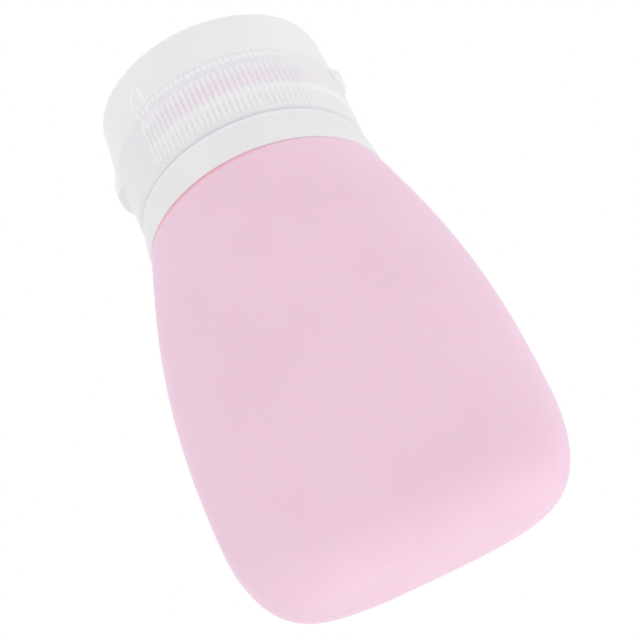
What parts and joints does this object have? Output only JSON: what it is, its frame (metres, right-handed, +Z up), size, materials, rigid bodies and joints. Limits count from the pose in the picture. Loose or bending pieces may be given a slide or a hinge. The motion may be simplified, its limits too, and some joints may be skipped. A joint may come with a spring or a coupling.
{
  "type": "travel squeeze bottle",
  "caption": "Flat soft silicone travel bottle with a frosted collar, a ribbed screw cap with a slit valve, and a hinged flip lid.",
  "frame": {"origin": "centre of the flat foot, on the surface that the bottle stands on", "axes": "+Z up along the bottle's axis towards the lid, -Y out of the wide front face, -X towards the lid's hinge"},
  "size_m": [0.0576, 0.0416, 0.1],
  "materials": {
    "silicone_pink": "matte silicone",
    "frosted_collar": "frosted",
    "frosted_cap": "frosted translucent",
    "frosted_film": "frosted translucent",
    "frosted_lid": "frosted translucent",
    "silicone_valve": "clear silicone",
    "white_ring": "moulded"
  },
  "bodies": {
    "bottle": {"bottle_body": "silicone_pink", "neck_collar": "frosted_collar"},
    "valve_set": {"valve": "silicone_valve", "valve_retainer": "white_ring"},
    "screw_cap": {"cap": "frosted_cap", "film_hinge": "frosted_film"},
    "flip_lid": {"lid": "frosted_lid"}
  },
  "joints": [
    {"name": "cap_lift", "type": "slide", "parent": "bottle", "child": "valve_set", "axis": [0, 0, 1], "range_m": [0, 0.0056]},
    {"name": "cap_turn", "type": "hinge", "parent": "valve_set", "child": "screw_cap", "pos_m": [0, 0, 0.0779], "axis": [0, 0, 1], "range_deg": [0, 630]},
    {"name": "lid_flip", "type": "hinge", "parent": "screw_cap", "child": "flip_lid", "pos_m": [-0.021, 0, 0.0888], "axis": [0, -1, 0], "range_deg": [0, 150], "deforming": ["film_hinge"]}
  ],
  "couplings": [
    {"joint": "cap_turn", "follows": "cap_lift", "rad_per_m": 1963.5}
  ]
}
